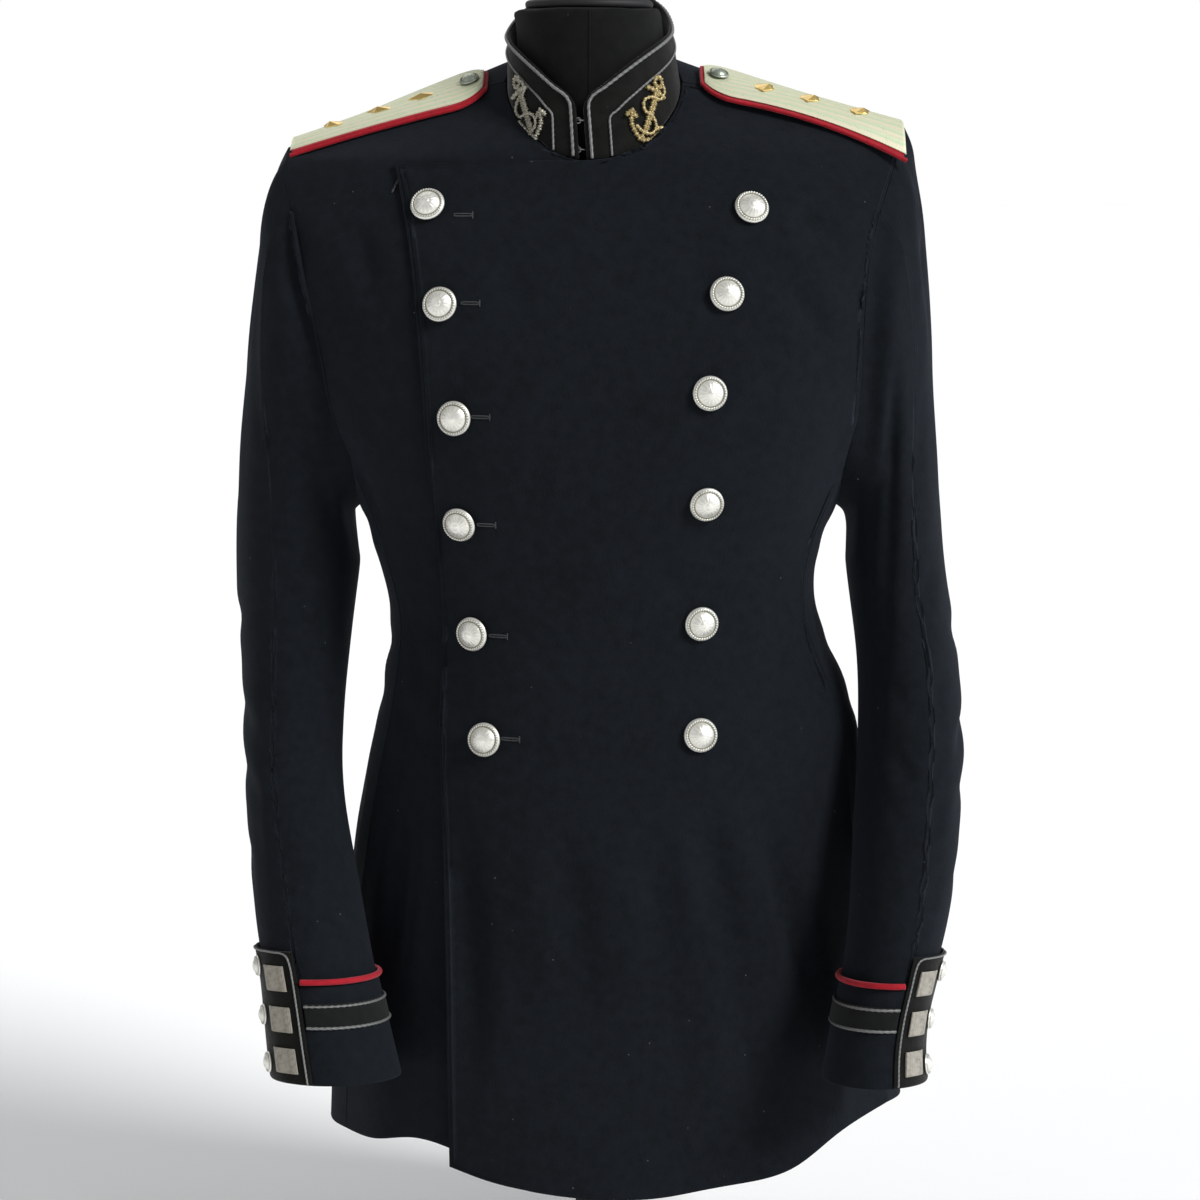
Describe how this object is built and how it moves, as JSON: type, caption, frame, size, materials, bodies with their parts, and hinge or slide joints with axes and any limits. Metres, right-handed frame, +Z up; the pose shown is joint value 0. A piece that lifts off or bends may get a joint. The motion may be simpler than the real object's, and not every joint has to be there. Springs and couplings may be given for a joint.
{
  "type": "military dress tunic on a dress form",
  "caption": "Double-breasted dark wool dress tunic with velvet stand collar, shoulder boards and corded cuffs, worn by a limbless dress form on a stand.",
  "frame": {"origin": "centre of the tunic's width, on the underside of the stand's base", "axes": "+Z up the dress form, -Y the way the tunic faces, +X the wearer's left"},
  "size_m": [0.5183, 0.3625, 0.9705],
  "materials": {
    "navy_wool": "felted dark navy wool",
    "black_velvet": "black velvet",
    "silver_cord": "silver metal thread",
    "red_piping": "red wool cloth",
    "silver_button": "silvered metal, softly polished",
    "silver_lace": "woven metallic lace, pale silver green",
    "gold_star": "gilt metal",
    "form_cover": "black cotton jersey",
    "stand_black": "black paint, satin"
  },
  "bodies": {
    "root": {"back_left": "navy_wool", "back_right": "navy_wool", "board_base_left": "red_piping", "board_base_right": "red_piping", "board_button_left": "silver_button", "board_button_right": "silver_button", "board_lace_left": "silver_lace", "board_lace_right": "silver_lace", "board_star_left_1": "gold_star", "board_star_left_2": "gold_star", "board_star_left_3": "gold_star", "board_star_right_1": "gold_star", "board_star_right_2": "gold_star", "board_star_right_3": "gold_star", "button_left_1": "silver_button", "button_left_2": "silver_button", "button_left_3": "silver_button", "button_left_4": "silver_button", "button_left_5": "silver_button", "button_left_6": "silver_button", "button_right_1": "silver_button", "button_right_2": "silver_button", "button_right_3": "silver_button", "button_right_4": "silver_button", "button_right_5": "silver_button", "button_right_6": "silver_button", "collar": "black_velvet", "collar_edge_cord": "silver_cord", "collar_inner_cord": "silver_cord", "cuff_band_left": "silver_cord", "cuff_band_right": "silver_cord", "cuff_bar_left_1": "silver_cord", "cuff_bar_left_2": "silver_cord", "cuff_bar_left_3": "silver_cord", "cuff_bar_right_1": "silver_cord", "cuff_bar_right_2": "silver_cord", "cuff_bar_right_3": "silver_cord", "cuff_button_left_1": "silver_button", "cuff_button_left_2": "silver_button", "cuff_button_left_3": "silver_button", "cuff_button_right_1": "silver_button", "cuff_button_right_2": "silver_button", "cuff_button_right_3": "silver_button", "cuff_left": "navy_wool", "cuff_piping_left": "red_piping", "cuff_piping_right": "red_piping", "cuff_right": "navy_wool", "cuff_tab_left": "black_velvet", "cuff_tab_right": "black_velvet", "form_body": "form_cover", "form_neck_cap": "stand_black", "form_stand": "stand_black", "front_left": "navy_wool", "front_right": "navy_wool", "side_left": "navy_wool", "side_right": "navy_wool", "sleeve_left_top": "navy_wool", "sleeve_left_under": "navy_wool", "sleeve_right_top": "navy_wool", "sleeve_right_under": "navy_wool"}
  },
  "joints": []
}
